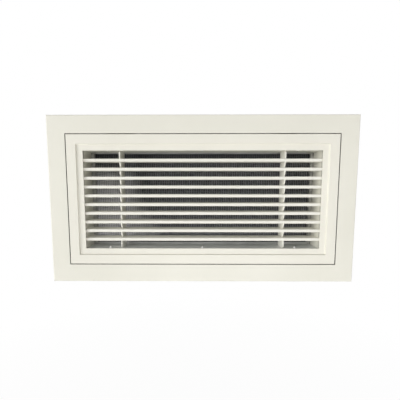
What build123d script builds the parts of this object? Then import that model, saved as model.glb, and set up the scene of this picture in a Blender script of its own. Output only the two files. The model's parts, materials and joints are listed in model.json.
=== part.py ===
from build123d import *
import os

# Linear bar grille with a hinged core and a filter behind the bars, in millimetres.
# It hangs in a wall: +X to the right, +Z up, -Y towards the room. The origin is the
# centre of the wall opening, in the plane of the wall that the flange rests on.
# Sections are drawn in (inset, depth): inset is measured inwards from the outer edge
# of the flange, and depth is the row's Y.

os.makedirs("parts", exist_ok=True)

# Outer frame
face_width = 550.0
face_height = 300.0
flange_stand = 6.0
flange_width = 32.0
frame_wall = 1.5
frame_depth = 60.0
opening_clearance = 28.0
flange_corner_radius = 2.0

# Door
door_gap = 1.5
door_wall = 1.5
door_leg_depth = 18.0
band_width = 17.0
step_depth = 2.5
ring_width = 11.0
door_edge_radius = 0.5
door_neck_depth = 42.0
rear_flange_width = 17.0

# Key channels of both extrusions
key_thickness = 2.0
key_length = 32.0
key_clearance = 0.1
hook_thickness = 1.2
hook_reach = 1.5
frame_channel_start = 8.0
frame_channel_width = 14.0

# Core
core_setback = 1.0
core_wall = 1.5
bar_count = 10
bar_end_distance = 17.5
bar_thickness = 5.5
bar_depth = 24.5
bar_front_setback = 5.5
bar_edge_radius = 0.5
bar_rear_chamfer = 1.2
tenon_thickness = 3.0
tenon_depth = 14.0
tenon_clearance = 0.1

# Support combs
support_end_distance = 65.0
support_thickness = 2.0
support_front_setback = 8.0
support_nose_slope = 5.0
support_back = 5.5
support_slot_clearance = 0.1
support_tab_depth = 12.0
support_end_chamfer = 3.0

# Door hinge
hinge_setback = 9.0
hinge_rise = 12.0
hinge_pin_radius = 2.0
hinge_head_radius = 3.4
hinge_head_height = 1.5
running_clearance = 0.05
hole_clearance = 0.05
bush_wall = 1.4
bush_flange_radius = 5.0
bush_end_play = 0.5

# Magnetic catches
catch_corner_distance = 125.0
catch_width = 32.0
catch_depth = 16.0
catch_height = 15.0
catch_ear_length = 8.0
catch_ear_thickness = 3.0
catch_corner_radius = 1.5
catch_air_gap = 0.3
magnet_width = 24.0
magnet_depth = 8.0
magnet_height = 9.0
strike_width = 34.0
strike_height = 9.5
strike_foot = 10.0
strike_thickness = 1.2
catch_notch_margin = 5.0
catch_notch_depth = 7.0

# Filter
filter_bar_width = 12.0
filter_thickness = 10.0
filter_lip_side = 5.5
filter_lip_top = 1.5
filter_lip_bottom = 4.0
filter_wall = 1.2
filter_ledge_width = 6.0
filter_ledge_depth = 3.5
filter_key_length = 22.0
net_thickness = 0.8
net_clearance = 0.3
net_strand_pitch = 3.55
net_strand_width = 1.9
net_border = 9.0
spline_width = 2.6
pad_thickness = 2.4
pad_clearance = 0.2

# Filter clips
clip_corner_distance = 95.0
clip_post_inset = 47.5
post_across_flats = 7.0
post_neck_radius = 1.5
post_head_radius = 2.8
post_head_height = 1.6
clip_reach = 11.0
clip_tail = 3.5
clip_width = 8.0
clip_corner_chamfer = 2.0
clip_thickness = 1.5
clip_gap = 0.3

# Fixing holes in the sides of the outer frame's neck
fixing_hole_radius = 2.25
fixing_depth = 40.0
fixing_corner_distance = 75.0

# Planes and lines that the pieces share
face = -flange_stand
flange_back = face + frame_wall
key_front = flange_back
hook_front = key_front + key_thickness + key_clearance
hook_back = hook_front + hook_thickness
neck_end = face + frame_depth
door_inset = flange_width + door_gap
door_leg_end = face + door_leg_depth
band_inset = door_inset + band_width
ring_face = face + step_depth
ring_back = ring_face + door_wall
lip_inset = band_inset + ring_width
core_inset = lip_inset - core_setback
neck_inset = core_inset - core_wall
door_neck_end = face + door_neck_depth
rear_flange_front = door_neck_end - door_wall
bar_front = face + bar_front_setback
bar_back = bar_front + bar_depth
support_front = face + support_front_setback
core_half_width = face_width / 2 - core_inset
core_half_height = face_height / 2 - core_inset
bar_pitch = 2 * (core_half_height - bar_end_distance) / (bar_count - 1)
bar_heights = [bar_pitch * (bar_count - 1 - 2 * i) / 2 for i in range(bar_count)]
hinge_y = face + hinge_setback
hinge_z = -face_height / 2 + door_inset + hinge_rise
filter_front = door_neck_end
filter_back = filter_front + filter_thickness
ledge_face = filter_back - filter_ledge_depth


def side_plane(side, half_width, half_height, centre_z=0.0):
    """Section plane of one side of a rectangle: x is the inset, y is the depth."""
    if side == "top":
        return Plane(origin=(0, 0, centre_z + half_height), x_dir=(0, 0, -1), z_dir=(1, 0, 0))
    if side == "bottom":
        return Plane(origin=(0, 0, centre_z - half_height), x_dir=(0, 0, 1), z_dir=(-1, 0, 0))
    if side == "left":
        return Plane(origin=(-half_width, 0, centre_z), x_dir=(1, 0, 0), z_dir=(0, 0, 1))
    return Plane(origin=(half_width, 0, centre_z), x_dir=(-1, 0, 0), z_dir=(0, 0, -1))


def save(builder, name):
    builder.part.label = name
    export_step(builder.part, f"parts/{name}.step")


def half_run(side, half_width, half_height):
    """Half of a side's length, measured along its outer edge."""
    return half_width if side in ("top", "bottom") else half_height


def cut_mitres(plane, run):
    """Cut both ends of a member at 45 degrees through the corners of its rectangle."""
    for end in (1, -1):
        corner = plane.origin + plane.z_dir * (run * end)
        outwards = plane.x_dir + plane.z_dir * end
        split(bisect_by=Plane(origin=corner, z_dir=outwards), keep=Keep.BOTTOM)


def corner_keys(first_inset, width, front, thickness, length, half_width, half_height, centre_z=0.0):
    """Four flat angle keys, one in each corner of a mitred rectangle."""
    with BuildPart() as keys:
        for sx in (1, -1):
            for sz in (1, -1):
                corner_x = sx * (half_width - first_inset)
                corner_z = centre_z + sz * (half_height - first_inset)
                corner_plane = Plane(origin=(corner_x, front, corner_z), x_dir=(-sx, 0, 0),
                                     z_dir=(0, -sx * sz, 0))
                with BuildSketch(corner_plane):
                    with BuildLine():
                        Polyline((0, 0), (length, 0), (length, width), (width, width),
                                 (width, length), (0, length), close=True)
                    make_face()
                    chamfer(vertices().sort_by_distance((length, 0))[0], width / 5)
                    chamfer(vertices().sort_by_distance((0, length))[0], width / 5)
                extrude(amount=-thickness * sx * sz)
    return keys


# Outer frame: flange with a turned edge, neck and key channel in one extrusion
frame_half_width = face_width / 2
frame_half_height = face_height / 2
side_names = ("top", "bottom", "left", "right")


def frame_section(plane):
    channel_end = frame_channel_start + frame_channel_width
    with BuildSketch(plane) as section:
        with BuildLine():
            FilletPolyline((0, 0), (0, face), (flange_width, face), radius=flange_corner_radius)
            offset(amount=frame_wall, side=Side.LEFT)
        make_face()
        with Locations((opening_clearance, flange_back)):
            Rectangle(frame_wall, neck_end - flange_back, align=(Align.MIN, Align.MIN))
        for edge, inwards in ((frame_channel_start, 1), (channel_end, -1)):
            with BuildLine():
                Polyline((edge, flange_back), (edge, hook_front), (edge + inwards * hook_reach, hook_front),
                         (edge + inwards * hook_reach, hook_back),
                         (edge - inwards * hook_thickness, hook_back),
                         (edge - inwards * hook_thickness, flange_back), close=True)
            make_face()
    return section.sketch


bore_radius = hinge_pin_radius + running_clearance
bush_hole_radius = bore_radius + bush_wall + hole_clearance
fixing_z = frame_half_height - fixing_corner_distance

for side in side_names:
    section_plane = side_plane(side, frame_half_width, frame_half_height)
    run = half_run(side, frame_half_width, frame_half_height)
    frame_profile = frame_section(section_plane)
    with BuildPart() as frame_member:
        extrude(frame_profile, amount=run, both=True)
        cut_mitres(section_plane, run)
        if side in ("left", "right"):
            neck_x = section_plane.origin.X + section_plane.x_dir.X * opening_clearance
            for hole_z in (fixing_z, -fixing_z):
                with Locations(Plane(origin=(neck_x, fixing_depth, hole_z), z_dir=(1, 0, 0))):
                    Cylinder(fixing_hole_radius, 4 * frame_wall, mode=Mode.SUBTRACT)
            with Locations(Plane(origin=(neck_x, hinge_y, hinge_z), z_dir=(1, 0, 0))):
                Cylinder(bush_hole_radius, 4 * frame_wall, mode=Mode.SUBTRACT)
    save(frame_member, f"frame_{side}")

frame_keys = corner_keys(frame_channel_start + key_clearance, frame_channel_width - 2 * key_clearance,
                         key_front, key_thickness, key_length, frame_half_width, frame_half_height)
save(frame_keys, "frame_corner_keys")


# Door: leg, band, step and ring in one wall, with the neck and its rear flange behind
def door_section(plane):
    channel_start = door_inset + door_wall
    channel_end = band_inset - door_wall
    with BuildSketch(plane) as section:
        with BuildLine():
            Polyline((door_inset, door_leg_end), (door_inset, face), (band_inset, face),
                     (band_inset, ring_face), (lip_inset, ring_face))
            offset(amount=door_wall, side=Side.LEFT)
        make_face()
        for corner in ((door_inset, face), (band_inset, face)):
            fillet(vertices().sort_by_distance(corner)[0], door_edge_radius)
        with BuildLine():
            Polyline((neck_inset, ring_back), (neck_inset, door_neck_end),
                     (neck_inset - rear_flange_width, door_neck_end))
            offset(amount=door_wall, side=Side.LEFT)
        make_face()
        with Locations((channel_start, hook_front)):
            Rectangle(hook_reach, hook_thickness, align=(Align.MIN, Align.MIN))
        with BuildLine():
            Polyline((channel_end, ring_face), (channel_end, hook_front),
                     (channel_end - hook_reach, hook_front), (channel_end - hook_reach, hook_back),
                     (band_inset, hook_back), (band_inset, ring_face), close=True)
        make_face()
    return section.sketch


catch_x = frame_half_width - catch_corner_distance
catch_positions = (-catch_x, catch_x)
catch_notch_length = catch_width + 2 * catch_ear_length + 2 * catch_notch_margin

for side in side_names:
    section_plane = side_plane(side, frame_half_width, frame_half_height)
    run = half_run(side, frame_half_width, frame_half_height)
    door_profile = door_section(section_plane)
    with BuildPart() as door_member:
        extrude(door_profile, amount=run, both=True)
        cut_mitres(section_plane, run)
        if side == "top":
            notch_bottom = frame_half_height - (neck_inset - rear_flange_width + catch_notch_depth)
            with Locations([(x, door_neck_end, notch_bottom) for x in catch_positions]):
                Box(catch_notch_length, 4 * door_wall, 2 * catch_notch_depth,
                    align=(Align.CENTER, Align.CENTER, Align.MIN), mode=Mode.SUBTRACT)
        if side in ("left", "right"):
            leg_x = section_plane.origin.X + section_plane.x_dir.X * door_inset
            with Locations(Plane(origin=(leg_x, hinge_y, hinge_z), z_dir=(1, 0, 0))):
                Cylinder(hinge_pin_radius + hole_clearance, 4 * door_wall, mode=Mode.SUBTRACT)
    suffix = "rail" if side in ("top", "bottom") else "stile"
    save(door_member, f"door_{side}_{suffix}")

door_keys = corner_keys(door_inset + door_wall + key_clearance,
                        band_width - 2 * door_wall - 2 * key_clearance,
                        key_front, key_thickness, key_length, frame_half_width, frame_half_height)
save(door_keys, "door_corner_keys")

# Core: end plates with a slot for each bar, and top and bottom plates between them
tenon_y = bar_front + bar_depth / 2
plate_front = ring_back
plate_depth = rear_flange_front - plate_front
plate_half_height = core_half_height + core_wall

for side, sx in (("left", -1), ("right", 1)):
    with BuildPart() as end_plate:
        corner_line = (sx * core_half_width, plate_front, 0)
        with BuildSketch(Plane(origin=corner_line, x_dir=(0, 1, 0), z_dir=(1, 0, 0))):
            Rectangle(plate_depth, 2 * plate_half_height, align=(Align.MIN, Align.CENTER))
            with Locations([(tenon_y - plate_front, bar_z) for bar_z in bar_heights]):
                Rectangle(tenon_depth + 2 * tenon_clearance, tenon_thickness + 2 * tenon_clearance,
                          mode=Mode.SUBTRACT)
        extrude(amount=sx * core_wall)
    save(end_plate, f"core_{side}_plate")

support_x = core_half_width - support_end_distance
support_positions = (-support_x, support_x)
tab_front = bar_back - support_tab_depth

for side, sz in (("top", 1), ("bottom", -1)):
    with BuildPart() as long_plate:
        corner_line = (0, plate_front, sz * core_half_height)
        with BuildSketch(Plane(origin=corner_line, x_dir=(1, 0, 0), z_dir=(0, 0, 1))):
            Rectangle(2 * core_half_width, plate_depth, align=(Align.CENTER, Align.MIN))
            with Locations([(x, tab_front - plate_front) for x in support_positions]):
                Rectangle(support_thickness + 2 * support_slot_clearance,
                          support_tab_depth + support_slot_clearance,
                          align=(Align.CENTER, Align.MIN), mode=Mode.SUBTRACT)
        extrude(amount=sz * core_wall)
    save(long_plate, f"core_{side}_plate")

# Bars: nose with eased edges, chamfered tail, and a tenon at each end
for index, bar_z in enumerate(bar_heights):
    with BuildPart() as bar:
        with BuildSketch(Plane(origin=(0, bar_front, bar_z), x_dir=(0, 1, 0), z_dir=(1, 0, 0))):
            Rectangle(bar_depth, bar_thickness, align=(Align.MIN, Align.CENTER))
            fillet(vertices().group_by(Axis.Y)[0], bar_edge_radius)
            chamfer(vertices().group_by(Axis.Y)[-1], bar_rear_chamfer / 2, bar_rear_chamfer)
        extrude(amount=core_half_width, both=True)
        with BuildSketch(Plane(origin=(0, tenon_y, bar_z), x_dir=(0, 1, 0), z_dir=(1, 0, 0))):
            Rectangle(tenon_depth, tenon_thickness)
        extrude(amount=core_half_width + core_wall, both=True)
    save(bar, f"bar_{index + 1:02d}")


# Support combs: slots that the bars sit in, and a sloped nose on each tooth between two bars
def comb_section(plane):
    """Back band, teeth with their upper end nearer the room, and chamfered ends with a tab each."""
    with BuildSketch(plane) as section:
        with Locations((bar_back, 0)):
            Rectangle(support_back, 2 * core_half_height, align=(Align.MIN, Align.CENTER))
        for upper_z, lower_z in zip(bar_heights, bar_heights[1:]):
            top = upper_z - bar_thickness / 2 - support_slot_clearance
            bottom = lower_z + bar_thickness / 2 + support_slot_clearance
            with BuildLine():
                Polyline((support_front, top), (bar_back, top), (bar_back, bottom),
                         (support_front + support_nose_slope, bottom), close=True)
            make_face()
        for sz in (1, -1):
            inner = sz * (bar_heights[0] + bar_thickness / 2 + support_slot_clearance)
            outer = sz * core_half_height
            with BuildLine():
                Polyline((support_front, inner), (support_front, outer - sz * support_end_chamfer),
                         (support_front + support_end_chamfer, outer), (bar_back, outer),
                         (bar_back, inner), close=True)
            make_face()
            with Locations((tab_front, outer)):
                Rectangle(support_tab_depth, core_wall,
                          align=(Align.MIN, Align.MIN if sz > 0 else Align.MAX))
    return section.sketch


for side, sx in (("left", -1), ("right", 1)):
    comb_profile = comb_section(Plane(origin=(sx * support_x, 0, 0), x_dir=(0, 1, 0), z_dir=(1, 0, 0)))
    with BuildPart() as comb:
        extrude(comb_profile, amount=support_thickness / 2, both=True)
    save(comb, f"support_{side}")

# Hinge: a pin pressed into each stile turns in a flanged bush in the neck of the outer frame
leg_outer_x = frame_half_width - door_inset
neck_inner_x = frame_half_width - opening_clearance - frame_wall
pin_end_x = frame_half_width - opening_clearance

for side, sx in (("left", -1), ("right", 1)):
    with BuildPart() as hinge_pin:
        head_seat = Plane(origin=(sx * (leg_outer_x - door_wall), hinge_y, hinge_z), z_dir=(sx, 0, 0))
        with BuildSketch(head_seat):
            Circle(hinge_pin_radius)
        extrude(amount=pin_end_x - leg_outer_x + door_wall)
        with BuildSketch(head_seat):
            Circle(hinge_head_radius)
        extrude(amount=-hinge_head_height)
    save(hinge_pin, f"hinge_pin_{side}")

    flange_thickness = neck_inner_x - leg_outer_x - bush_end_play
    with BuildPart() as hinge_bush:
        with BuildSketch(Plane(origin=(sx * neck_inner_x, hinge_y, hinge_z), z_dir=(sx, 0, 0))):
            Circle(bore_radius + bush_wall)
        extrude(amount=frame_wall)
        with BuildSketch(Plane(origin=(sx * neck_inner_x, hinge_y, hinge_z), z_dir=(-sx, 0, 0))):
            Circle(bush_flange_radius)
        extrude(amount=flange_thickness)
        with Locations(Plane(origin=(sx * neck_inner_x, hinge_y, hinge_z), z_dir=(1, 0, 0))):
            Cylinder(bore_radius, 4 * (flange_thickness + frame_wall), mode=Mode.SUBTRACT)
    save(hinge_bush, f"hinge_bush_{side}")

# Magnetic catches under the neck's top wall, and their strikes behind the door's top leg
catch_front = door_leg_end + strike_thickness + catch_air_gap
catch_top = frame_half_height - opening_clearance - frame_wall
magnet_top = catch_top - catch_ear_thickness
leg_underside = frame_half_height - door_inset - door_wall

for side, x in zip(("left", "right"), catch_positions):
    with BuildPart() as catch_housing:
        with BuildSketch(Plane(origin=(x, catch_front, catch_top), x_dir=(1, 0, 0), z_dir=(0, -1, 0))):
            Rectangle(catch_width, catch_height, align=(Align.CENTER, Align.MAX))
            Rectangle(catch_width + 2 * catch_ear_length, catch_ear_thickness,
                      align=(Align.CENTER, Align.MAX))
        extrude(amount=-catch_depth)
        fillet(edges().filter_by(Axis.Y).group_by(Axis.Z)[0], catch_corner_radius)
        with Locations((x, catch_front, magnet_top)):
            Box(magnet_width, magnet_depth, magnet_height, align=(Align.CENTER, Align.MIN, Align.MAX),
                mode=Mode.SUBTRACT)
    save(catch_housing, f"catch_housing_{side}")

    with BuildPart() as catch_magnet:
        with Locations((x, catch_front, magnet_top)):
            Box(magnet_width, magnet_depth, magnet_height, align=(Align.CENTER, Align.MIN, Align.MAX))
    save(catch_magnet, f"catch_magnet_{side}")

    with BuildPart() as strike:
        with BuildSketch(Plane(origin=(x, 0, 0), x_dir=(0, 1, 0), z_dir=(1, 0, 0))):
            with BuildLine():
                Polyline((door_leg_end - strike_foot, leg_underside - strike_thickness),
                         (door_leg_end, leg_underside - strike_thickness),
                         (door_leg_end, leg_underside - strike_height))
                offset(amount=strike_thickness, side=Side.LEFT)
            make_face()
        extrude(amount=strike_width / 2, both=True)
    save(strike, f"strike_{side}")

# Filter: hollow mitred frame with a ledge for the net, the pad and the spline that holds them
filter_half_width = core_half_width - filter_lip_side + filter_bar_width
filter_opening_height = 2 * core_half_height - filter_lip_top - filter_lip_bottom
filter_half_height = filter_opening_height / 2 + filter_bar_width
filter_z = (filter_lip_bottom - filter_lip_top) / 2
ledge_inset = filter_bar_width - filter_ledge_width


def filter_section(plane):
    with BuildSketch(plane) as section:
        with BuildLine():
            Polyline((0, filter_front), (filter_bar_width, filter_front), (filter_bar_width, ledge_face),
                     (ledge_inset, ledge_face), (ledge_inset, filter_back), (0, filter_back), close=True)
        make_face()
        offset(amount=-filter_wall, mode=Mode.SUBTRACT)
    return section.sketch


for side in side_names:
    section_plane = side_plane(side, filter_half_width, filter_half_height, filter_z)
    run = half_run(side, filter_half_width, filter_half_height)
    filter_profile = filter_section(section_plane)
    with BuildPart() as filter_member:
        extrude(filter_profile, amount=run, both=True)
        cut_mitres(section_plane, run)
    save(filter_member, f"filter_frame_{side}")

chamber_depth = filter_thickness - filter_ledge_depth - 2 * filter_wall
filter_keys = corner_keys(filter_wall + key_clearance,
                          filter_bar_width - 2 * filter_wall - 2 * key_clearance,
                          filter_front + filter_wall + key_clearance, chamber_depth - 2 * key_clearance,
                          filter_key_length, filter_half_width, filter_half_height, filter_z)
save(filter_keys, "filter_corner_keys")

net_half_width = filter_half_width - ledge_inset - net_clearance
net_half_height = filter_half_height - ledge_inset - net_clearance
strand_field = 2 * (net_half_width - net_border)
strand_count = int(strand_field / net_strand_pitch)
slot_height = 2 * (net_half_height - net_border)

with BuildPart() as filter_net:
    with BuildSketch(Plane(origin=(0, ledge_face, filter_z), x_dir=(1, 0, 0), z_dir=(0, -1, 0))):
        Rectangle(2 * net_half_width, 2 * net_half_height)
        with GridLocations(net_strand_pitch, 1, strand_count, 1):
            Rectangle(net_strand_pitch - net_strand_width, slot_height, mode=Mode.SUBTRACT)
    extrude(amount=-net_thickness)
save(filter_net, "filter_net")

spline_front = ledge_face + net_thickness
with BuildPart() as filter_spline:
    with BuildSketch(Plane(origin=(0, spline_front, filter_z), x_dir=(1, 0, 0), z_dir=(0, -1, 0))):
        Rectangle(2 * net_half_width, 2 * net_half_height)
        Rectangle(2 * (net_half_width - spline_width), 2 * (net_half_height - spline_width),
                  mode=Mode.SUBTRACT)
    extrude(amount=-(filter_back - spline_front))
save(filter_spline, "filter_spline")

pad_margin = spline_width + pad_clearance
with BuildPart() as filter_pad:
    with BuildSketch(Plane(origin=(0, spline_front, filter_z), x_dir=(1, 0, 0), z_dir=(0, -1, 0))):
        Rectangle(2 * (net_half_width - pad_margin), 2 * (net_half_height - pad_margin))
    extrude(amount=-pad_thickness)
save(filter_pad, "filter_pad")

# Filter clips: each turns on the neck of a hexagonal post behind the door's rear flange
clip_front = filter_back + clip_gap
post_head_front = clip_front + clip_thickness + running_clearance
clip_x = frame_half_width - clip_post_inset
clip_z = frame_half_height - clip_corner_distance

for level, sz in (("upper", 1), ("lower", -1)):
    for side, sx in (("left", -1), ("right", 1)):
        with BuildPart() as clip_post:
            with BuildSketch(Plane(origin=(sx * clip_x, door_neck_end, sz * clip_z), z_dir=(0, 1, 0))):
                RegularPolygon(post_across_flats / 2, 6, major_radius=False)
            extrude(amount=clip_front - door_neck_end)
            with BuildSketch(Plane(origin=(sx * clip_x, clip_front, sz * clip_z), z_dir=(0, 1, 0))):
                Circle(post_neck_radius)
            extrude(amount=post_head_front - clip_front)
            with BuildSketch(Plane(origin=(sx * clip_x, post_head_front, sz * clip_z), z_dir=(0, 1, 0))):
                Circle(post_head_radius)
            extrude(amount=post_head_height)
        save(clip_post, f"clip_post_{level}_{side}")

        clip_plane = Plane(origin=(sx * clip_x, clip_front, sz * clip_z), x_dir=(-sx, 0, 0), z_dir=(0, -1, 0))
        with BuildPart() as filter_clip:
            with BuildSketch(clip_plane):
                with Locations(((clip_reach - clip_tail) / 2, 0)):
                    Rectangle(clip_reach + clip_tail, clip_width)
                chamfer(vertices(), clip_corner_chamfer)
                Circle(post_neck_radius + running_clearance, mode=Mode.SUBTRACT)
            extrude(amount=-clip_thickness)
        save(filter_clip, f"filter_clip_{level}_{side}")
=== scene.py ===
import json
import math

import bmesh
import bpy
from mathutils import Matrix, Vector, noise


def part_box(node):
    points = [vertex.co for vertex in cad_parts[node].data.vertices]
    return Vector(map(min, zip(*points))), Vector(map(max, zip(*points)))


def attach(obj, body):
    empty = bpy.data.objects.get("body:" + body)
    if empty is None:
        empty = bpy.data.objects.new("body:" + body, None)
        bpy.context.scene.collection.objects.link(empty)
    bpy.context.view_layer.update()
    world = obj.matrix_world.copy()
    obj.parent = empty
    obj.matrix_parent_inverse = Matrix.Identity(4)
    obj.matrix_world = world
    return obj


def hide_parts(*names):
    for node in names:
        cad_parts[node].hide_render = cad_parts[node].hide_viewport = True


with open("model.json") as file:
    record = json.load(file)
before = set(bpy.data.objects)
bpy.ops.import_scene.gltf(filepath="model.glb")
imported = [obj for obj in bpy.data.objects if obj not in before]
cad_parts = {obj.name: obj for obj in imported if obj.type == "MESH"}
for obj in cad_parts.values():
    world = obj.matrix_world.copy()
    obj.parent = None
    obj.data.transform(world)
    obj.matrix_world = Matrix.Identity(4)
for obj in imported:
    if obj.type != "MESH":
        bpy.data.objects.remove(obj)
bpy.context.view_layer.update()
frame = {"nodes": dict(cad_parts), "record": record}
nodes = frame["nodes"]
slotOfNode = {row["node"]: row["material_slot"] for row in frame["record"]["subparts"]}
print("frame loaded:", len(nodes), "nodes")


# camera

view = {
    "place": (-0.00681, -0.44000, 0.02545),
    "lookDown": 4.943,
    "turnLeft": 0.313,
    "lens": 21.815,
    "shift": (0.00664, 0.01782),
}

cameraData = bpy.data.cameras.new("photoCamera")
cameraData.sensor_fit = "HORIZONTAL"
cameraData.sensor_width = 36
cameraData.lens = view["lens"]
cameraData.shift_x, cameraData.shift_y = view["shift"]
cameraData.clip_start = 0.01
camera = bpy.data.objects.new("photoCamera", cameraData)
camera.location = view["place"]
camera.rotation_euler = (math.radians(90 - view["lookDown"]), 0, math.radians(view["turnLeft"]))
bpy.context.scene.collection.objects.link(camera)
bpy.context.scene.camera = camera
bpy.context.scene.view_settings.view_transform = "Standard"


# node trees: a socket that adds up like a number, and a desk that lays nodes down


class Signal:
    def __init__(self, desk, socket):
        self.desk = desk
        self.socket = socket

    def reckon(self, operation, first, second):
        return self.desk.node("ShaderNodeMath", {"operation": operation}, {0: first, 1: second})

    def __add__(self, other):
        return self.reckon("ADD", self, other)

    def __radd__(self, other):
        return self.reckon("ADD", other, self)

    def __sub__(self, other):
        return self.reckon("SUBTRACT", self, other)

    def __rsub__(self, other):
        return self.reckon("SUBTRACT", other, self)

    def __mul__(self, other):
        return self.reckon("MULTIPLY", self, other)

    def __rmul__(self, other):
        return self.reckon("MULTIPLY", other, self)

    def size(self):
        return self.reckon("ABSOLUTE", self, 0.0)

    def least(self, other):
        return self.reckon("MINIMUM", self, other)

    def most(self, other):
        return self.reckon("MAXIMUM", self, other)


class Desk:
    def __init__(self, owner):
        owner.use_nodes = True
        self.tree = owner.node_tree
        self.tree.nodes.clear()

    def node(self, kind, settings=None, sockets=None, output=0):
        laid = self.tree.nodes.new(kind)
        for name, value in (settings or {}).items():
            setattr(laid, name, value)
        for name, value in (sockets or {}).items():
            if isinstance(value, Signal):
                self.tree.links.new(value.socket, laid.inputs[name])
            else:
                laid.inputs[name].default_value = value
        return Signal(self, laid.outputs[output]) if laid.outputs else None

    def points(self, scale=(1, 1, 1)):
        spot = self.node("ShaderNodeTexCoord", output="Object")
        return self.node("ShaderNodeMapping", None, {"Vector": spot, "Scale": scale})

    def axes(self):
        split = self.node("ShaderNodeSeparateXYZ", None, {"Vector": self.points()}).socket.node
        return [Signal(self, split.outputs[axis]) for axis in "XYZ"]

    def grain(self, scale, stretch=(1, 1, 1), detail=2.0, rough=0.5):
        sockets = {"Vector": self.points(stretch), "Scale": scale, "Detail": detail, "Roughness": rough}
        return self.node("ShaderNodeTexNoise", None, sockets)

    def between(self, level, low, high):
        sockets = {"Value": level, "From Min": low, "From Max": high}
        return self.node("ShaderNodeMapRange", {"clamp": True}, sockets)

    def blend(self, factor, first, second):
        return self.node("ShaderNodeMix", {"data_type": "RGBA"}, {0: factor, 6: first, 7: second}, output=2)

    def bump(self, height, distance, strength=1.0):
        sockets = {"Height": height, "Distance": distance, "Strength": strength}
        return self.node("ShaderNodeBump", None, sockets)

    def surface(self, sockets):
        shader = self.node("ShaderNodeBsdfPrincipled", None, sockets)
        self.node("ShaderNodeOutputMaterial", None, {"Surface": shader})


def colour(red, green, blue):
    return (red, green, blue, 1.0)


# finishes

finishes = {}

coatTone = {
    "frame": (colour(0.800, 0.790, 0.710), colour(0.835, 0.823, 0.745)),
    "door": (colour(0.825, 0.808, 0.730), colour(0.858, 0.842, 0.762)),
    "bars": (colour(0.850, 0.840, 0.765), colour(0.880, 0.868, 0.800)),
    "core": (colour(0.760, 0.748, 0.665), colour(0.800, 0.788, 0.705)),
    # the floor of the core: a darker, cooler copy of the core coat, as painted shade
    "shadedsill": (colour(0.690, 0.705, 0.695), colour(0.740, 0.755, 0.745)),
}

coatGrain = {
    "driftScale": 7,
    "peelScale": 1300,
    "peelHeight": 0.00003,
    "peelStrength": 0.3,
    "speckScale": 2600,
    "speckTone": colour(0.45, 0.43, 0.37),
}

# where and how much painted shade darkens the coat: the seam of the door and the corner behind the ring
coatPaintedShade = {
    "edge": 0.0003,
    "faceHalf": (0.275, 0.150),
    "seamInset": (0.0290, 0.0338),
    "seamDepth": (-0.0058, -0.0052),
    "seamFade": (0.0010, 0.0060),
    "seamShade": 0.85,
    "seamShadeTone": colour(0.10, 0.095, 0.085),
    "cornerDepth": (0.0004, 0.0048),
    "cornerShade": 0.6,
    "cornerShadeTone": colour(0.16, 0.15, 0.125),
}


def seamPaintedShade(desk):
    # painted shade: the seam between the flange and the door is darkened, for the shade that falls into the
    # gap
    x, y, z = desk.axes()
    halfWidth, halfHeight = coatPaintedShade["faceHalf"]
    inset = (halfWidth - x.size()).least(halfHeight - z.size())
    low, high = coatPaintedShade["seamInset"]
    edge = coatPaintedShade["edge"]
    inside = desk.between(inset, low, low + edge) * (1 - desk.between(inset, high - edge, high))
    depth = desk.between(y, *coatPaintedShade["seamDepth"]) * (1 - desk.between(y, *coatPaintedShade["seamFade"]))
    return inside * depth * coatPaintedShade["seamShade"]


def cornerPaintedShade(desk):
    # painted shade: the walls of the core are darker in the corner behind the ring, where its lip shades
    # them
    depth = desk.axes()[1]
    return (1 - desk.between(depth, *coatPaintedShade["cornerDepth"])) * coatPaintedShade["cornerShade"]


def powderCoat(name, tones, paintedShade=None, paintedShadeTone=None):
    # satin powder coat: fine orange peel, soft drift of tone, sparse darker specks, and painted shade where
    # one is given
    material = bpy.data.materials.new(name)
    desk = Desk(material)
    drift = desk.between(desk.grain(coatGrain["driftScale"], detail=3), 0.35, 0.65)
    peel = desk.grain(coatGrain["peelScale"], detail=2, rough=0.45)
    speck = desk.between(desk.grain(coatGrain["speckScale"], detail=1), 0.30, 0.42)
    tone = desk.blend(drift, tones[0], tones[1])
    tone = desk.blend(0.05 - speck * 0.05, tone, coatGrain["speckTone"])
    if paintedShade:
        tone = desk.blend(paintedShade(desk), tone, paintedShadeTone)
    desk.surface({
        "Base Color": tone,
        "Roughness": 0.36 + peel * 0.16,
        "Normal": desk.bump(peel, coatGrain["peelHeight"], coatGrain["peelStrength"]),
        "Specular IOR Level": 0.45,
    })
    return material


for kind, tones in coatTone.items():
    coatName = "powderCoat" + kind.capitalize()
    if kind in ("frame", "door"):
        finishes[coatName] = powderCoat(coatName, tones, seamPaintedShade, coatPaintedShade["seamShadeTone"])
    elif kind in ("core", "shadedsill"):
        finishes[coatName] = powderCoat(coatName, tones, cornerPaintedShade, coatPaintedShade["cornerShadeTone"])
    else:
        finishes[coatName] = powderCoat(coatName, tones)


def brushedAluminium(name, dark, light, lines, roughness):
    # drawn metal: fine lines along the length of the profile, cloudy oxide over them
    material = bpy.data.materials.new(name)
    desk = Desk(material)
    streaks = desk.grain(lines, stretch=(0.02, 1, 0.3), detail=3, rough=0.6)
    cloud = desk.between(desk.grain(30, detail=4), 0.3, 0.7)
    desk.surface({
        "Base Color": desk.blend(cloud, dark, light),
        "Metallic": 0.9,
        "Roughness": roughness + streaks * 0.2,
        "Normal": desk.bump(streaks, 0.00002, 0.5),
    })
    return material


finishes["millAluminium"] = brushedAluminium(
    "millAluminium", colour(0.50, 0.50, 0.49), colour(0.66, 0.66, 0.65), 2200, 0.32)
finishes["rivetAluminium"] = brushedAluminium(
    "rivetAluminium", colour(0.80, 0.80, 0.79), colour(0.92, 0.92, 0.91), 900, 0.18)


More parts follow.
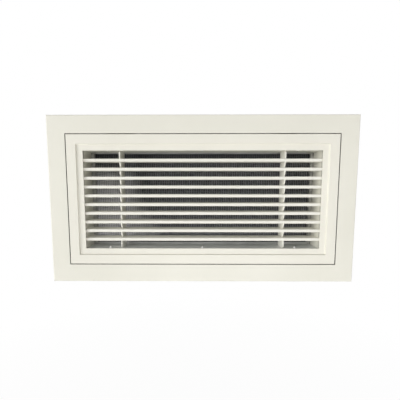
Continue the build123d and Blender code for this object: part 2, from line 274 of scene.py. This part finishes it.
def zincPlate():
    # bright zinc with a faint blue and yellow passivate
    material = bpy.data.materials.new("zincPlate")
    desk = Desk(material)
    cells = desk.node("ShaderNodeTexVoronoi", None, {"Vector": desk.points(), "Scale": 420.0})
    film = desk.between(desk.grain(90, detail=3), 0.35, 0.65)
    desk.surface({
        "Base Color": desk.blend(film, colour(0.58, 0.60, 0.64), colour(0.72, 0.70, 0.62)),
        "Metallic": 0.95,
        "Roughness": 0.22 + cells * 0.25,
        "Normal": desk.bump(cells, 0.00002, 0.4),
    })
    return material


finishes["zincPlate"] = zincPlate()


def mouldedPlastic(name, dark, light, roughness):
    # spark-eroded mould texture, slightly paler on its worn grain
    material = bpy.data.materials.new(name)
    desk = Desk(material)
    pits = desk.grain(1700, detail=3)
    cloud = desk.grain(60, detail=3)
    desk.surface({
        "Base Color": desk.blend(cloud, dark, light),
        "Roughness": roughness + pits * 0.2,
        "Normal": desk.bump(pits, 0.00005, 0.7),
    })
    return material


finishes["nylon"] = mouldedPlastic("nylon", colour(0.020, 0.020, 0.022), colour(0.045, 0.045, 0.048), 0.45)
finishes["splineRubber"] = mouldedPlastic(
    "splineRubber", colour(0.012, 0.012, 0.012), colour(0.03, 0.03, 0.03), 0.6)


def sinteredFerrite():
    material = bpy.data.materials.new("sinteredFerrite")
    desk = Desk(material)
    crumbs = desk.grain(900, detail=4, rough=0.7)
    desk.surface({
        "Base Color": desk.blend(crumbs, colour(0.02, 0.02, 0.022), colour(0.09, 0.09, 0.095)),
        "Metallic": 0.4,
        "Roughness": 0.5 + crumbs * 0.3,
        "Normal": desk.bump(crumbs, 0.00004, 0.8),
    })
    return material


finishes["sinteredFerrite"] = sinteredFerrite()


netLook = {
    "dull": colour(0.175, 0.182, 0.198),
    "pale": colour(0.300, 0.306, 0.328),
    # colours and bounds of the painted light: a pale band on the net and fleece at the left end
    "paintedLight": colour(0.90, 0.89, 0.95),
    "fleecePaintedLight": colour(0.60, 0.60, 0.65),
    "paintedLightFrom": 0.105,
    "paintedLightTo": 0.170,
    "paintedLightLean": 0.35,
    "paintedLightTop": (0.042, 0.068),
    "paintedLightBehind": (0.0438, 0.0444),
    # the painted shade on the rows under the top wall
    "paintedTopShade": (0.066, 0.082),
    "paintedTopShadeTone": colour(0.02, 0.025, 0.03),
}


def paintedLightBand(desk):
    # painted light: a pale band, strongest at the left end and low down, not on the upper rows nor on the
    # back of the fleece
    x, y, z = desk.axes()
    cloud = desk.grain(24, stretch=(1, 1, 0.7), detail=3, rough=0.6)
    spread = 0.0 - x - z * netLook["paintedLightLean"] + (cloud - 0.5) * 0.07
    lightMask = desk.between(spread, netLook["paintedLightFrom"], netLook["paintedLightTo"])
    below = 1 - desk.between(z, *netLook["paintedLightTop"])
    before = 1 - desk.between(y, *netLook["paintedLightBehind"])
    return lightMask * below * before


def netPlastic():
    # plastic strands, with painted shade on the rows under the top wall
    material = bpy.data.materials.new("netPlastic")
    desk = Desk(material)
    height = desk.axes()[2]
    mottle = desk.between(desk.grain(160, detail=3), 0.32, 0.68)
    tone = desk.blend(mottle, netLook["dull"], netLook["pale"])
    tone = desk.blend(desk.between(height, *netLook["paintedTopShade"]) * 0.6, tone, netLook["paintedTopShadeTone"])
    desk.surface({
        # the pale band of painted light at the left end
        "Base Color": desk.blend(paintedLightBand(desk), tone, netLook["paintedLight"]),
        "Roughness": 0.38 + mottle * 0.2,
        "Specular IOR Level": 0.4,
    })
    return material


finishes["netPlastic"] = netPlastic()


def fleeceFibre():
    # matted dark fibres in two crossing directions
    material = bpy.data.materials.new("fleeceFibre")
    desk = Desk(material)
    lengthways = desk.grain(520, stretch=(0.25, 1, 1), detail=4, rough=0.7)
    upways = desk.grain(520, stretch=(1, 1, 0.25), detail=4, rough=0.7)
    felt = (lengthways + upways) * 0.5
    clump = desk.between(desk.grain(45, detail=3), 0.35, 0.7)
    fibre = desk.between(felt, 0.38, 0.62)
    tone = desk.blend(fibre, colour(0.008, 0.009, 0.011), colour(0.045, 0.048, 0.054))
    tone = desk.blend(clump * 0.4, tone, colour(0.03, 0.033, 0.04))
    desk.surface({
        # the same band of painted light, fainter on the fleece
        "Base Color": desk.blend(paintedLightBand(desk) * 0.8, tone, netLook["fleecePaintedLight"]),
        "Roughness": 0.75 + fibre * 0.2,
        "Sheen Weight": 0.15,
        "Normal": desk.bump(felt, 0.0006, 0.9),
    })
    return material


finishes["fleeceFibre"] = fleeceFibre()

finishOfSlot = {
    "mill_aluminium": "millAluminium",
    "zinc_steel": "zincPlate",
    "nylon": "nylon",
    "ferrite": "sinteredFerrite",
    "net_strand": "netPlastic",
    "filter_fleece": "fleeceFibre",
    "spline_rubber": "splineRubber",
}

coatOfNode = {
    "frame_": "Frame",
    "door_": "Door",
    "bar_": "Bars",
    # the floor of the core takes the darker copy of the coat, painted shade
    "core_bottom": "Shadedsill",
    "core_": "Core",
    "support_": "Bars",
}

for name, node in nodes.items():
    slotName = slotOfNode[name]
    if slotName == "powder_coat":
        family = [coat for start, coat in coatOfNode.items() if name.startswith(start)][0]
        material = finishes["powderCoat" + family]
    else:
        material = finishes[finishOfSlot[slotName]]
    for place in range(max(1, len(node.material_slots))):
        if place >= len(node.data.materials):
            node.data.materials.append(material)
        else:
            node.material_slots[place].material = material
print("finishes laid on the solids:", len(finishes))


# shared ways of making a piece


def sortByPlace(bm):
    # extrude and spin leave another order in each run, so points and faces are put in order by their place
    spots = ((bm.verts, lambda vert: vert.co), (bm.faces, lambda face: face.calc_center_median()))
    for items, spot in spots:
        inOrder = sorted(items, key=lambda item: tuple(spot(item)))
        rank = {item: number for number, item in enumerate(inOrder)}
        items.sort(key=lambda item: rank[item])


def asPiece(bm, name, material, body, smooth=True):
    mesh = bpy.data.meshes.new(name)
    sortByPlace(bm)
    bm.normal_update()
    bm.to_mesh(mesh)
    bm.free()
    mesh.materials.append(finishes[material])
    mesh.polygons.foreach_set("use_smooth", [smooth] * len(mesh.polygons))
    piece = bpy.data.objects.new(name, mesh)
    bpy.context.scene.collection.objects.link(piece)
    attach(piece, body)
    return piece


def placed(bm, verts, seat, direction):
    # stands what was built along +Z on the seat, along the given direction
    turn = Vector((0, 0, 1)).rotation_difference(Vector(direction)).to_matrix().to_4x4()
    bmesh.ops.transform(bm, matrix=Matrix.Translation(Vector(seat)) @ turn, verts=verts)


# filter net: strands that pass over and under each other

net = {"pitch": 0.00355, "upright": 0.0018, "level": 0.0009, "thickness": 0.0003, "wave": 0.00022}


def drawStrand(crossings, width, phase):
    # a flat strand with a bend at every crossing, and one pitch to spare at both ends
    length = (crossings + 1) * net["pitch"]
    bm = bmesh.new()
    bmesh.ops.create_cube(bm, size=1.0)
    bmesh.ops.scale(bm, vec=(length, width, net["thickness"]), verts=bm.verts[:])
    longEdges = [edge for edge in bm.edges if abs(edge.verts[0].co.x - edge.verts[1].co.x) > length / 2]
    bmesh.ops.subdivide_edges(bm, edges=longEdges, cuts=crossings)
    for vert in bm.verts:
        step = round((vert.co.x / length + 0.5) * (crossings + 1))
        vert.co.z += net["wave"] * (1 if (step + phase) % 2 else -1)
    strand = bpy.data.meshes.new("strand")
    bm.to_mesh(strand)
    bm.free()
    return strand


def layStrand(bm, strand, middle, run, across):
    laid = strand.copy()
    axes = Matrix((run, across, run.cross(across))).transposed().to_4x4()
    laid.transform(Matrix.Translation(middle) @ axes)
    bm.from_mesh(laid)
    bpy.data.meshes.remove(laid)


def weaveNet():
    low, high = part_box("filter_net")
    middle = (low + high) / 2
    columns = int((high.x - low.x) / net["pitch"]) - 1
    rows = int((high.z - low.z) / net["pitch"]) - 1
    right, up = Vector((1, 0, 0)), Vector((0, 0, 1))
    upright = [drawStrand(rows, net["upright"], phase) for phase in (0, 1)]
    level = [drawStrand(columns, net["level"], phase) for phase in (0, 1)]
    bm = bmesh.new()
    for column in range(columns):
        x = middle.x + (column + 0.5 - columns / 2) * net["pitch"]
        layStrand(bm, upright[column % 2], Vector((x, middle.y, middle.z)), up, right)
    for row in range(rows):
        z = middle.z + (row + 0.5 - rows / 2) * net["pitch"]
        layStrand(bm, level[row % 2], Vector((middle.x, middle.y, z)), right, up)
    piece = asPiece(bm, "wovenNet", "netPlastic", "door", smooth=False)
    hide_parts("filter_net")


weaveNet()
print("net woven")


# filter fleece: a matted sheet that lies behind the net

fleece = {"columns": 108, "rows": 46, "lump": 0.0005, "lumpScale": 90, "clear": 0.0002, "fill": 0.5}


def matFleece():
    low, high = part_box("filter_pad")
    middle = (low + high) / 2
    depth = high.y - low.y - 2 * fleece["clear"]
    bm = bmesh.new()
    grid = bmesh.ops.create_grid(
        bm, x_segments=fleece["columns"], y_segments=fleece["rows"], size=0.5)["verts"]
    bmesh.ops.scale(bm, vec=(high.x - low.x, high.z - low.z, 1), verts=grid)
    bmesh.ops.rotate(bm, matrix=Matrix.Rotation(math.radians(90), 3, "X"), verts=grid)
    bmesh.ops.translate(bm, vec=(middle.x, low.y + fleece["clear"], middle.z), verts=grid)
    back = bmesh.ops.extrude_face_region(bm, geom=bm.faces[:])["geom"]
    backVerts = [item for item in back if isinstance(item, bmesh.types.BMVert)]
    bmesh.ops.translate(bm, vec=(0, depth, 0), verts=backVerts)
    bmesh.ops.recalc_face_normals(bm, faces=bm.faces[:])
    for vert in bm.verts:
        lump = 0.5 + 0.5 * noise.noise(vert.co * fleece["lumpScale"])
        sign = 1 if vert.co.y < middle.y else -1
        vert.co.y += sign * fleece["lump"] * lump
    piece = asPiece(bm, "filterFleece", "fleeceFibre", "door")
    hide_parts("filter_pad")


matFleece()
print("fleece matted")


# rivets of the core and screws of the catches

rivet = {
    "radius": 0.0025,
    "dome": 0.0034,
    "topDome": 0.0011,
    "shank": 0.0016,
    "grip": 0.003,
    "tail": 0.001,
    "spacing": 0.172,
    "depth": 0.0065,
}
strikeRivet = {"radius": 0.0028, "dome": 0.0012, "fromEnd": 0.006, "fromEdge": 0.0062, "seat": 0.0012}
catchScrew = {
    "radius": 0.0028, "dome": 0.0017, "shank": 0.0015, "tip": 0.002, "grip": 0.0045,
    "fromEnd": 0.004, "ear": 0.003}
head = {"around": 24, "rings": 5, "lean": 69.5, "weld": 0.000001}  # lean: of the arc at the rim, in degrees
stem = {"around": 20, "taper": 0.9}


def domedHead(bm, radius, height):
    # half a section, from the middle of the flat underside to the rim and up the arc, spun round the axis
    known = set(bm.verts)
    lean = math.radians(head["lean"])
    points = [(0, 0, 0)]
    for ring in range(head["rings"] + 1):
        angle = lean * (1 - ring / head["rings"])
        out = radius * math.sin(angle) / math.sin(lean)
        up = height * (math.cos(angle) - math.cos(lean)) / (1 - math.cos(lean))
        points.append((out, 0, up))
    section = [bm.verts.new(point) for point in points]
    edges = [bm.edges.new(pair) for pair in zip(section, section[1:])]
    bmesh.ops.spin(
        bm, geom=section + edges, cent=(0, 0, 0), axis=(0, 0, 1), angle=math.tau, steps=head["around"],
        use_merge=True)
    made = [vert for vert in bm.verts if vert not in known]
    bmesh.ops.remove_doubles(bm, verts=made, dist=head["weld"])
    made = [vert for vert in bm.verts if vert not in known]
    faces = [face for face in bm.faces if face.verts[0] not in known]
    bmesh.ops.recalc_face_normals(bm, faces=faces)
    return made


def shank(bm, radius, top, bottom):
    made = bmesh.ops.create_cone(
        bm, cap_ends=True, segments=stem["around"],
        radius1=radius * stem["taper"], radius2=radius, depth=top - bottom)["verts"]
    bmesh.ops.translate(bm, vec=(0, 0, (top + bottom) / 2), verts=made)
    return made


def rivetCore():
    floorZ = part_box("core_bottom_plate")[1].z
    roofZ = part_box("core_top_plate")[0].z
    bm = bmesh.new()
    for seatZ, direction, dome in ((floorZ, 1, rivet["dome"]), (roofZ, -1, rivet["topDome"])):
        for x in (-rivet["spacing"], 0, rivet["spacing"]):
            verts = domedHead(bm, rivet["radius"], dome)
            placed(bm, verts, (x, rivet["depth"], seatZ), (0, 0, direction))
            tail = shank(bm, rivet["shank"], -rivet["grip"], -rivet["grip"] - rivet["tail"])
            placed(bm, tail, (x, rivet["depth"], seatZ), (0, 0, direction))
    asPiece(bm, "coreRivets", "rivetAluminium", "door")


def rivetStrikes():
    bm = bmesh.new()
    for side in ("left", "right"):
        low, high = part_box("strike_" + side)
        seatZ = high.z - strikeRivet["seat"]
        for x in (low.x + strikeRivet["fromEnd"], high.x - strikeRivet["fromEnd"]):
            verts = domedHead(bm, strikeRivet["radius"], strikeRivet["dome"])
            placed(bm, verts, (x, high.y - strikeRivet["fromEdge"], seatZ), (0, 0, -1))
    asPiece(bm, "strikeRivets", "rivetAluminium", "door")


def screwCatches():
    bm = bmesh.new()
    for side in ("left", "right"):
        low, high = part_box("catch_housing_" + side)
        for x in (low.x + catchScrew["fromEnd"], high.x - catchScrew["fromEnd"]):
            seat = (x, (low.y + high.y) / 2, high.z - catchScrew["ear"])
            verts = domedHead(bm, catchScrew["radius"], catchScrew["dome"])
            placed(bm, verts, seat, (0, 0, -1))
            top = -catchScrew["grip"]
            tip = shank(bm, catchScrew["shank"], top, top - catchScrew["tip"])
            placed(bm, tip, seat, (0, 0, -1))
    asPiece(bm, "catchScrews", "zincPlate", "outer_frame")


rivetCore()
rivetStrikes()
screwCatches()
print("rivets and screws set")


# stage: white room, pale floor, soft light from the left


studio = {
    "floorDrop": 1.6,
    "floorSize": 8.0,
    "ambient": 0.32,
    "lampTint": (1.0, 0.995, 0.98),
    "leftPlace": (-10.22, -6.27, 0.70),
    "leftSize": 6.0,
    "leftPower": 860.0,
    "frontPlace": (0.25, -2.00, -1.35),
    "frontSize": 1.4,
    "frontPower": 33.0,
    "rightPlace": (3.73, -1.00, 1.04),
    "rightSize": 1.4,
    "rightPower": 4.0,
}


def whiteToEye(desk):
    # what the camera sees, straight or through a gloss, is white; the light on the object stays plain
    seen = desk.node("ShaderNodeLightPath", output="Is Camera Ray")
    for ray in ("Is Glossy Ray", "Is Transmission Ray"):
        seen = seen.most(desk.node("ShaderNodeLightPath", output=ray))
    return seen


def lightRoom():
    world = bpy.data.worlds.new("whiteRoom")
    bpy.context.scene.world = world
    desk = Desk(world)
    white = desk.node("ShaderNodeBackground", None, {"Color": colour(1, 1, 1), "Strength": 1.0})
    ambience = {"Color": colour(1.0, 0.99, 0.97), "Strength": studio["ambient"]}
    dim = desk.node("ShaderNodeBackground", None, ambience)
    shown = desk.node("ShaderNodeMixShader", None, {0: whiteToEye(desk), 1: dim, 2: white})
    desk.node("ShaderNodeOutputWorld", None, {"Surface": shown})


def layFloor():
    bm = bmesh.new()
    bmesh.ops.create_grid(bm, x_segments=1, y_segments=1, size=studio["floorSize"])
    bmesh.ops.translate(bm, vec=(0, 0, -studio["floorDrop"]), verts=bm.verts[:])
    mesh = bpy.data.meshes.new("paleFloor")
    bm.to_mesh(mesh)
    bm.free()
    material = bpy.data.materials.new("paleFloor")
    desk = Desk(material)
    matt = desk.node("ShaderNodeBsdfDiffuse", None, {"Color": colour(0.85, 0.85, 0.84)})
    glow = desk.node("ShaderNodeEmission", None, {"Color": colour(1, 1, 1), "Strength": 1.0})
    reach = desk.node("ShaderNodeVectorMath", {"operation": "LENGTH"}, {0: desk.points()}, output="Value")
    white = 0.94 + desk.between(reach, 1.2, 3.5) * 0.06
    lit = desk.node("ShaderNodeMixShader", None, {0: whiteToEye(desk) * white, 1: matt, 2: glow})
    desk.node("ShaderNodeOutputMaterial", None, {"Surface": lit})
    mesh.materials.append(material)
    floor = bpy.data.objects.new("paleFloor", mesh)
    bpy.context.scene.collection.objects.link(floor)


def hangLamp(side):
    place = Vector(studio[side + "Place"])
    lampData = bpy.data.lights.new(side + "Lamp", "AREA")
    lampData.shape = "SQUARE"
    lampData.size = studio[side + "Size"]
    lampData.energy = studio[side + "Power"]
    lampData.color = studio["lampTint"]
    lamp = bpy.data.objects.new(side + "Lamp", lampData)
    lamp.location = place
    aim = Vector((0, 0, 0)) - place
    lamp.rotation_euler = aim.to_track_quat("-Z", "Y").to_euler()
    bpy.context.scene.collection.objects.link(lamp)


lightRoom()
layFloor()
for side in ("left", "front", "right"):
    hangLamp(side)
print("stage lit")
